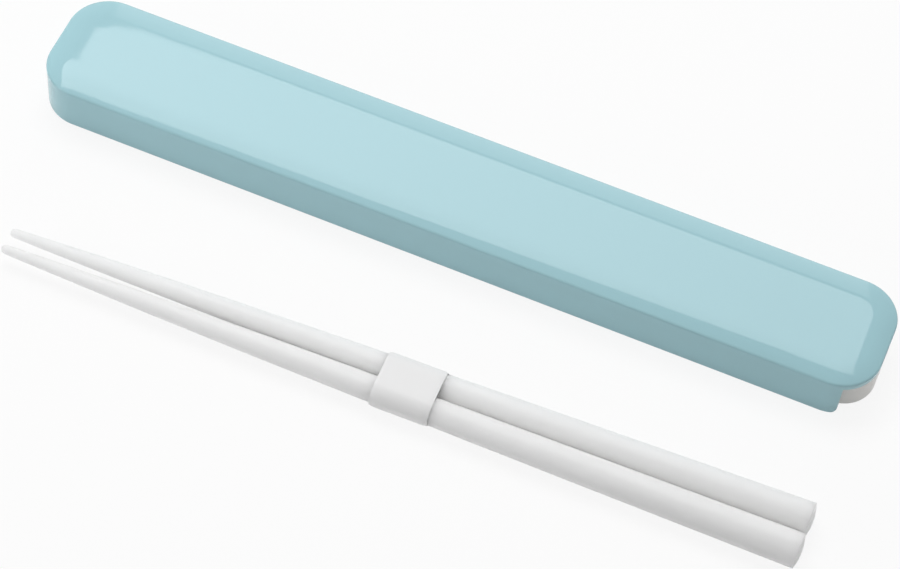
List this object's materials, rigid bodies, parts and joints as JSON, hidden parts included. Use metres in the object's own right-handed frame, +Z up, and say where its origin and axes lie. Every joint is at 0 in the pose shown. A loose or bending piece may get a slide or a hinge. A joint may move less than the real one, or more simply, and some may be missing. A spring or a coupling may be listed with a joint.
{
  "type": "chopstick case",
  "caption": "Slim travel case for chopsticks: a round-cornered channel lid slides off a stepped tray, with tapered chopsticks in a flat sleeve lying beside it.",
  "frame": {"origin": "centre of the closed case's footprint, on the table", "axes": "+X along the case towards its open end, +Y away from the chopsticks, +Z up"},
  "size_m": [0.193, 0.0684, 0.012],
  "materials": {
    "tray_plastic": "satin moulded, white",
    "lid_plastic": "gloss moulded, pale aqua",
    "sleeve_plastic": "satin, white",
    "stick_plastic": "satin moulded, white"
  },
  "bodies": {
    "tray": {"tray": "tray_plastic"},
    "lid": {"lid": "lid_plastic"},
    "sleeve": {"chopstick_sleeve": "sleeve_plastic"},
    "front_stick": {"chopstick_front": "stick_plastic"},
    "rear_stick": {"chopstick_rear": "stick_plastic"}
  },
  "joints": [
    {"name": "lid_slide", "type": "slide", "parent": "tray", "child": "lid", "axis": [-1, 0, 0], "range_m": [0, 0.196]},
    {"name": "pair_lift", "type": "slide", "parent": "tray", "child": "sleeve", "axis": [0, 0, 1], "range_m": [0, 0.06]},
    {"name": "front_slide", "type": "slide", "parent": "sleeve", "child": "front_stick", "axis": [0.9999, 0.0107, 0], "range_m": [0, 0.1]},
    {"name": "rear_slide", "type": "slide", "parent": "sleeve", "child": "rear_stick", "axis": [0.9996, 0.0287, 0], "range_m": [0, 0.1]}
  ]
}
